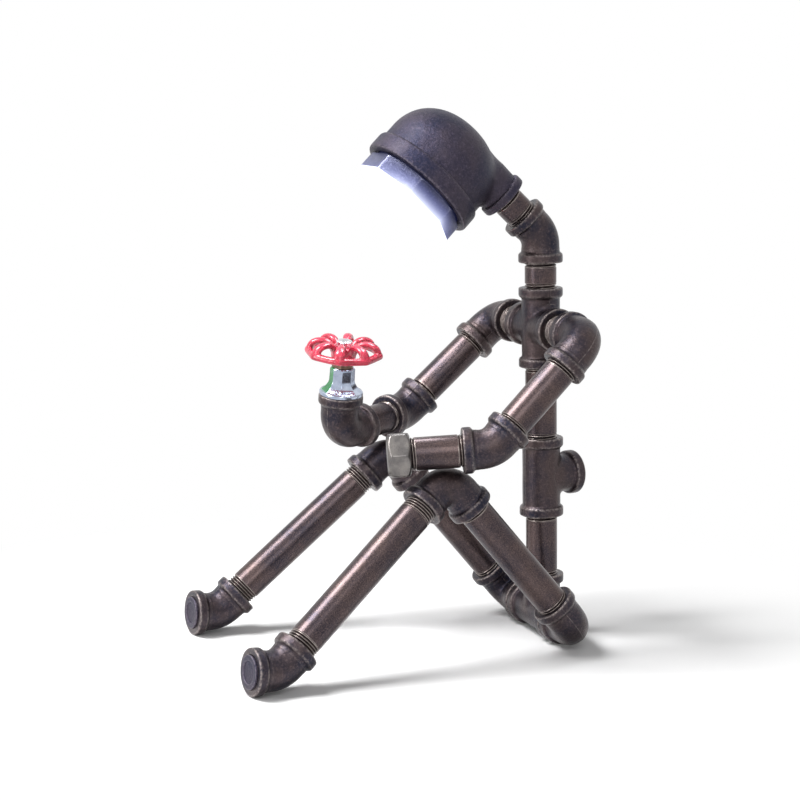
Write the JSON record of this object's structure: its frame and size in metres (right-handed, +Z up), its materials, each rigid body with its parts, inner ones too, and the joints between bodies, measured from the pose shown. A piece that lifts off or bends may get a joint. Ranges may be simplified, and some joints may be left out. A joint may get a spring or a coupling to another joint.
{
  "type": "desk lamp",
  "caption": "Desk lamp in the shape of a seated robot built from banded pipe fittings, with a lit reducing elbow as its head and a red handwheel at one hand.",
  "frame": {"origin": "middle of the outline seen from above, on the floor plane that the figure sits on", "axes": "+Z up; the figure faces -Y; its left side is +X"},
  "size_m": [0.1928, 0.2644, 0.3556],
  "materials": {
    "hip_tee": "dark satin lacquer over cast iron",
    "left_hip_nipple": "dark lacquered steel pipe",
    "right_hip_nipple": "dark lacquered steel pipe",
    "left_hip_elbow": "dark satin lacquer over cast iron",
    "right_hip_elbow": "dark satin lacquer over cast iron",
    "left_thigh_pipe": "dark lacquered steel pipe",
    "right_thigh_pipe": "dark lacquered steel pipe",
    "left_knee_elbow": "dark satin lacquer over cast iron",
    "right_knee_elbow": "dark satin lacquer over cast iron",
    "left_shin_pipe": "dark lacquered steel pipe",
    "right_shin_pipe": "dark lacquered steel pipe",
    "left_ankle_elbow": "dark satin lacquer over cast iron",
    "right_ankle_elbow": "dark satin lacquer over cast iron",
    "left_foot_plug": "dark satin lacquer over cast iron",
    "right_foot_plug": "dark satin lacquer over cast iron",
    "lower_spine_pipe": "dark lacquered steel pipe",
    "back_tee": "dark satin lacquer over cast iron",
    "cord_bush": "black rubber",
    "upper_spine_pipe": "dark lacquered steel pipe",
    "chest_cross": "dark satin lacquer over cast iron",
    "neck_pipe": "dark lacquered steel pipe",
    "spine_wires": "insulated wire",
    "neck_elbow": "dark satin lacquer over cast iron",
    "head_nipple": "dark lacquered steel pipe",
    "head_wires": "insulated wire",
    "head_elbow": "dark satin lacquer over cast iron",
    "head_bushing": "dark satin lacquer",
    "lamp_lens": "lit opal diffuser",
    "lamp_board": "white lamp board",
    "heat_sink": "plain aluminium",
    "lamp_wires": "insulated wire",
    "left_shoulder_nipple": "dark lacquered steel pipe",
    "left_shoulder_elbow": "dark satin lacquer over cast iron",
    "left_upper_arm_pipe": "dark lacquered steel pipe",
    "left_arm_elbow": "dark satin lacquer over cast iron",
    "left_forearm_pipe": "dark lacquered steel pipe",
    "left_hand_cap": "satin steel",
    "right_shoulder_nipple": "dark lacquered steel pipe",
    "right_shoulder_elbow": "dark satin lacquer over cast iron",
    "right_upper_arm_pipe": "dark lacquered steel pipe",
    "right_arm_wires": "insulated wire",
    "right_arm_elbow": "dark satin lacquer over cast iron",
    "right_forearm_nipple": "dark lacquered steel pipe",
    "right_forearm_wires": "insulated wire",
    "right_hand_elbow": "dark satin lacquer over cast iron",
    "valve_bonnet": "plated brass",
    "packing_nut": "aged brass",
    "dimmer_switch": "black plastic",
    "valve_stem": "turned steel",
    "handwheel": "glossy red paint",
    "wheel_nut": "bright plated"
  },
  "bodies": {
    "figure": {"hip_tee": "hip_tee", "left_hip_nipple": "left_hip_nipple", "right_hip_nipple": "right_hip_nipple", "left_hip_elbow": "left_hip_elbow", "right_hip_elbow": "right_hip_elbow", "left_thigh_pipe": "left_thigh_pipe", "right_thigh_pipe": "right_thigh_pipe", "left_knee_elbow": "left_knee_elbow", "right_knee_elbow": "right_knee_elbow", "left_shin_pipe": "left_shin_pipe", "right_shin_pipe": "right_shin_pipe", "left_ankle_elbow": "left_ankle_elbow", "right_ankle_elbow": "right_ankle_elbow", "left_foot_plug": "left_foot_plug", "right_foot_plug": "right_foot_plug", "lower_spine_pipe": "lower_spine_pipe", "back_tee": "back_tee", "cord_bush": "cord_bush", "upper_spine_pipe": "upper_spine_pipe", "chest_cross": "chest_cross", "neck_pipe": "neck_pipe", "spine_wires": "spine_wires"},
    "neck": {"neck_elbow": "neck_elbow", "head_nipple": "head_nipple", "head_wires": "head_wires"},
    "head": {"head_elbow": "head_elbow", "head_bushing": "head_bushing", "lamp_lens": "lamp_lens", "lamp_board": "lamp_board", "heat_sink": "heat_sink", "lamp_wires": "lamp_wires"},
    "left_arm": {"left_shoulder_nipple": "left_shoulder_nipple", "left_shoulder_elbow": "left_shoulder_elbow", "left_upper_arm_pipe": "left_upper_arm_pipe"},
    "left_forearm": {"left_arm_elbow": "left_arm_elbow", "left_forearm_pipe": "left_forearm_pipe", "left_hand_cap": "left_hand_cap"},
    "right_arm": {"right_shoulder_nipple": "right_shoulder_nipple", "right_shoulder_elbow": "right_shoulder_elbow", "right_upper_arm_pipe": "right_upper_arm_pipe", "right_arm_wires": "right_arm_wires"},
    "right_forearm": {"right_arm_elbow": "right_arm_elbow", "right_forearm_nipple": "right_forearm_nipple", "right_forearm_wires": "right_forearm_wires"},
    "right_hand": {"right_hand_elbow": "right_hand_elbow", "valve_bonnet": "valve_bonnet", "packing_nut": "packing_nut", "dimmer_switch": "dimmer_switch"},
    "wheel": {"valve_stem": "valve_stem", "handwheel": "handwheel", "wheel_nut": "wheel_nut"}
  },
  "joints": [
    {"name": "neck_swivel", "type": "hinge", "parent": "figure", "child": "neck", "pos_m": [-0.0145, 0.09616, 0.25491], "axis": [0, -0.0401, 0.9992], "range_deg": [-60, 60]},
    {"name": "head_swivel", "type": "hinge", "parent": "neck", "child": "head", "pos_m": [-0.01635, 0.07713, 0.29085], "axis": [-0.0739, -0.731, 0.6783], "range_deg": [-45, 45]},
    {"name": "left_shoulder_swivel", "type": "hinge", "parent": "figure", "child": "left_arm", "pos_m": [0.01845, 0.09964, 0.21141], "axis": [0.9986, 0.0523, 0.0021], "range_deg": [-50, 0]},
    {"name": "right_shoulder_swivel", "type": "hinge", "parent": "figure", "child": "right_arm", "pos_m": [-0.04745, 0.09619, 0.21128], "axis": [-0.9986, -0.0523, -0.0021], "range_deg": [0, 40]},
    {"name": "left_elbow_swivel", "type": "hinge", "parent": "left_arm", "child": "left_forearm", "pos_m": [0.05629, 0.04869, 0.15618], "axis": [0.0376, -0.6899, -0.7229], "range_deg": [-90, 4]},
    {"name": "right_elbow_swivel", "type": "hinge", "parent": "right_arm", "child": "right_forearm", "pos_m": [-0.07936, 0.03822, 0.15933], "axis": [0.0399, -0.7339, -0.6781], "range_deg": [-10, 40]},
    {"name": "right_wrist_swivel", "type": "hinge", "parent": "right_forearm", "child": "right_hand", "pos_m": [-0.05566, -0.01244, 0.14216], "axis": [0.5273, -0.844, -0.0984], "range_deg": [-40, 45]},
    {"name": "dimmer_wheel", "type": "hinge", "parent": "right_hand", "child": "wheel", "pos_m": [-0.03335, -0.03558, 0.1858], "axis": [0.1717, -0.0076, 0.9851], "range_deg": [0, 270]}
  ]
}
